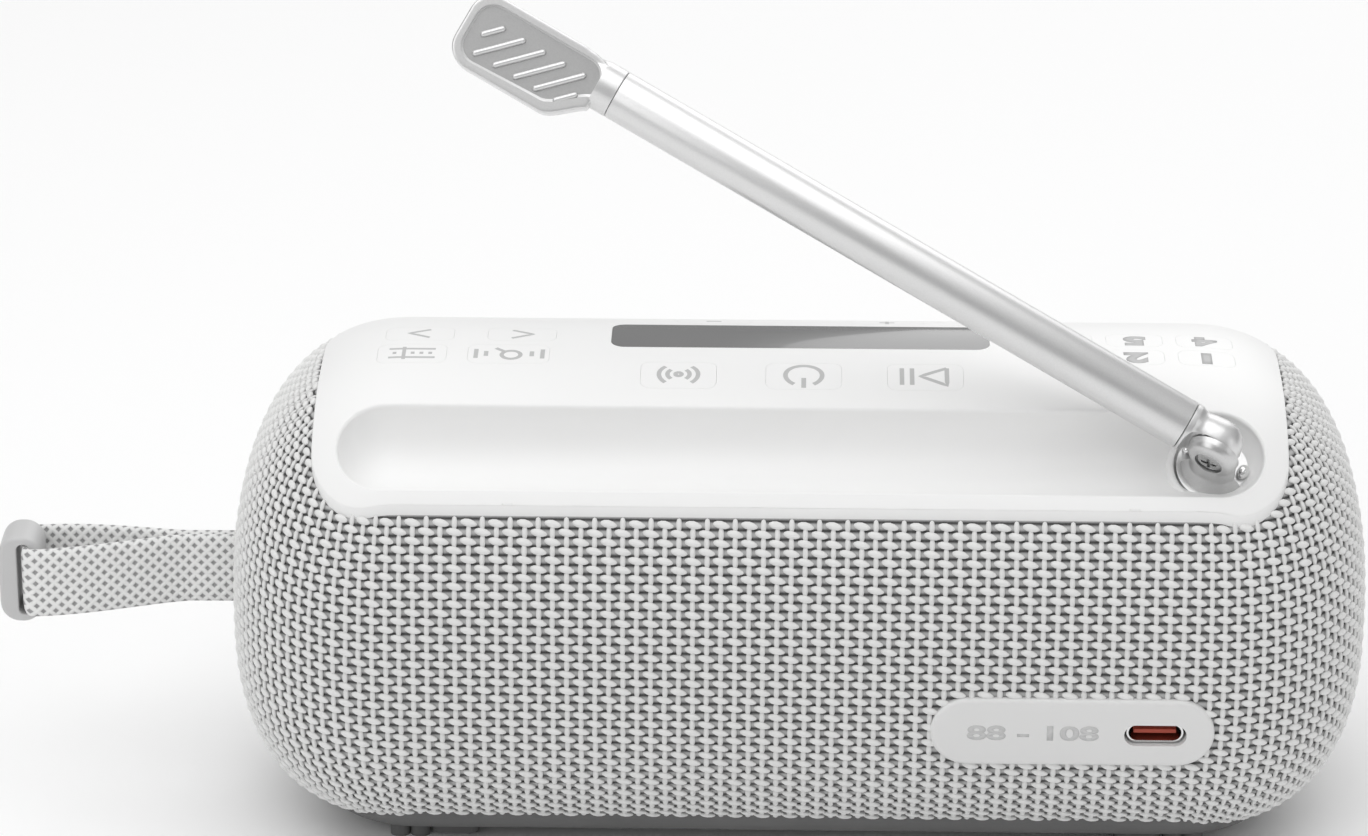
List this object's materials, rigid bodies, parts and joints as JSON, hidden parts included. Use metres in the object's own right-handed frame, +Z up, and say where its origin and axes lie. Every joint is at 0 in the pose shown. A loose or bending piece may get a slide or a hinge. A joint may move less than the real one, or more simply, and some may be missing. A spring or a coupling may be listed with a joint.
{
  "type": "tabletop radio",
  "caption": "Portable radio with a pill-shaped woven fabric body, a white control panel on top, a telescopic antenna on a turntable and a carry strap.",
  "frame": {"origin": "centre of the base pad's flat underside, 1 mm above the surface the feet stand on", "axes": "+Z up, +X towards the strap end, +Y towards the rear, where the label plate and socket are; the display faces up and reads from -Y"},
  "size_m": [0.2221, 0.0756, 0.1372],
  "materials": {
    "fabric": "light grey plain weave of flat yarn",
    "housing": "moulded",
    "panel": "near-white, fine satin texture",
    "key": "near-white satin, printed grey symbol",
    "smoked": "smoked display window",
    "module": "display panel",
    "rubber": "dark grey, matt",
    "plate": "light grey satin",
    "clip": "grey, soft sheen",
    "webbing": "off-white diagonal braid",
    "aluminium": "satin anodised",
    "steel": "nickel plated",
    "magnet": "ferrite",
    "tongue": "red-brown",
    "board": "green solder mask on glass fibre",
    "cell": "sleeved cell",
    "cone": "black, matt"
  },
  "bodies": {
    "housing": {"fabric_sleeve": "fabric", "front_housing": "housing", "rear_housing": "housing", "top_panel": "panel", "base_pad": "rubber", "display_window": "smoked", "display_module": "module", "label_plate": "plate", "usb_shell": "steel", "usb_tongue": "tongue", "keypad_board": "board", "main_board": "board", "tuner_module": "steel", "battery_tray": "housing", "battery_cell_1": "cell", "battery_cell_2": "cell", "speaker_frame": "steel", "speaker_cone": "cone", "speaker_surround": "rubber", "speaker_magnet": "magnet", "passive_radiator": "cone", "strap_anchor": "steel", "strap_root": "webbing", "housing_screw_1": "steel", "housing_screw_2": "steel", "housing_screw_3": "steel", "housing_screw_4": "steel"},
    "turntable": {"turntable": "aluminium", "turntable_clip": "steel", "hinge_screw": "steel"},
    "antenna_arm": {"knuckle": "aluminium", "antenna_tube_1": "aluminium"},
    "antenna_stage_2": {"antenna_tube_2": "aluminium"},
    "antenna_stage_3": {"antenna_tube_3": "aluminium"},
    "antenna_stage_4": {"antenna_tube_4": "aluminium"},
    "antenna_end": {"antenna_tip": "aluminium"},
    "strap": {"strap_webbing": "webbing", "strap_end_clip": "clip"},
    "power_key_body": {"power_key": "key"},
    "link_key_body": {"link_key": "key"},
    "play_key_body": {"play_key": "key"},
    "next_key_body": {"next_key": "key"},
    "previous_key_body": {"previous_key": "key"},
    "scan_key_body": {"scan_key": "key"},
    "band_key_body": {"band_key": "key"},
    "volume_up_key_body": {"volume_up_key": "key"},
    "volume_down_key_body": {"volume_down_key": "key"},
    "preset_key_1_body": {"preset_key_1": "key"},
    "preset_key_2_body": {"preset_key_2": "key"},
    "preset_key_3_body": {"preset_key_3": "key"},
    "preset_key_4_body": {"preset_key_4": "key"},
    "preset_key_5_body": {"preset_key_5": "key"},
    "preset_key_6_body": {"preset_key_6": "key"}
  },
  "joints": [
    {"name": "antenna_swivel", "type": "hinge", "parent": "housing", "child": "turntable", "pos_m": [-0.0652, 0.02189, 0.06685], "axis": [0, -0.6018, -0.7986], "range_deg": [-26.7, 153.3]},
    {"name": "antenna_tilt", "type": "hinge", "parent": "turntable", "child": "antenna_arm", "pos_m": [-0.0652, 0.02604, 0.07237], "axis": [-0.4493, -0.7135, 0.5376], "range_deg": [-7.5, 76.4]},
    {"name": "antenna_draw_2", "type": "slide", "parent": "antenna_arm", "child": "antenna_stage_2", "axis": [0.8683, -0.2073, 0.4506], "range_m": [0, 0.084]},
    {"name": "antenna_draw_3", "type": "slide", "parent": "antenna_stage_2", "child": "antenna_stage_3", "axis": [0.8683, -0.2073, 0.4506], "range_m": [0, 0.084]},
    {"name": "antenna_draw_4", "type": "slide", "parent": "antenna_stage_3", "child": "antenna_stage_4", "axis": [0.8683, -0.2073, 0.4506], "range_m": [0, 0.084]},
    {"name": "antenna_draw_tip", "type": "slide", "parent": "antenna_stage_4", "child": "antenna_end", "axis": [0.8683, -0.2073, 0.4506], "range_m": [0, 0.084]},
    {"name": "strap_swing", "type": "hinge", "parent": "housing", "child": "strap", "pos_m": [0.0942, 0, 0.038], "axis": [0, 0, 1], "range_deg": [-35, 35]},
    {"name": "power_key_press", "type": "slide", "parent": "housing", "child": "power_key_body", "axis": [0, 0, -1], "range_m": [0, 0.0006], "stiffness_N_per_m": 500},
    {"name": "link_key_press", "type": "slide", "parent": "housing", "child": "link_key_body", "axis": [0, 0, -1], "range_m": [0, 0.0006], "stiffness_N_per_m": 500},
    {"name": "play_key_press", "type": "slide", "parent": "housing", "child": "play_key_body", "axis": [0, 0, -1], "range_m": [0, 0.0006], "stiffness_N_per_m": 500},
    {"name": "next_key_press", "type": "slide", "parent": "housing", "child": "next_key_body", "axis": [0, 0, -1], "range_m": [0, 0.0006], "stiffness_N_per_m": 500},
    {"name": "previous_key_press", "type": "slide", "parent": "housing", "child": "previous_key_body", "axis": [0, 0, -1], "range_m": [0, 0.0006], "stiffness_N_per_m": 500},
    {"name": "scan_key_press", "type": "slide", "parent": "housing", "child": "scan_key_body", "axis": [0, 0, -1], "range_m": [0, 0.0006], "stiffness_N_per_m": 500},
    {"name": "band_key_press", "type": "slide", "parent": "housing", "child": "band_key_body", "axis": [0, 0, -1], "range_m": [0, 0.0006], "stiffness_N_per_m": 500},
    {"name": "volume_up_key_press", "type": "slide", "parent": "housing", "child": "volume_up_key_body", "axis": [0, 0, -1], "range_m": [0, 0.0006], "stiffness_N_per_m": 500},
    {"name": "volume_down_key_press", "type": "slide", "parent": "housing", "child": "volume_down_key_body", "axis": [0, 0, -1], "range_m": [0, 0.0006], "stiffness_N_per_m": 500},
    {"name": "preset_key_1_press", "type": "slide", "parent": "housing", "child": "preset_key_1_body", "axis": [0, 0, -1], "range_m": [0, 0.0006], "stiffness_N_per_m": 500},
    {"name": "preset_key_2_press", "type": "slide", "parent": "housing", "child": "preset_key_2_body", "axis": [0, 0, -1], "range_m": [0, 0.0006], "stiffness_N_per_m": 500},
    {"name": "preset_key_3_press", "type": "slide", "parent": "housing", "child": "preset_key_3_body", "axis": [0, 0, -1], "range_m": [0, 0.0006], "stiffness_N_per_m": 500},
    {"name": "preset_key_4_press", "type": "slide", "parent": "housing", "child": "preset_key_4_body", "axis": [0, 0, -1], "range_m": [0, 0.0006], "stiffness_N_per_m": 500},
    {"name": "preset_key_5_press", "type": "slide", "parent": "housing", "child": "preset_key_5_body", "axis": [0, 0, -1], "range_m": [0, 0.0006], "stiffness_N_per_m": 500},
    {"name": "preset_key_6_press", "type": "slide", "parent": "housing", "child": "preset_key_6_body", "axis": [0, 0, -1], "range_m": [0, 0.0006], "stiffness_N_per_m": 500}
  ],
  "couplings": [
    {"joint": "antenna_draw_3", "follows": "antenna_draw_2", "ratio": 1},
    {"joint": "antenna_draw_4", "follows": "antenna_draw_2", "ratio": 1},
    {"joint": "antenna_draw_tip", "follows": "antenna_draw_2", "ratio": 1}
  ]
}
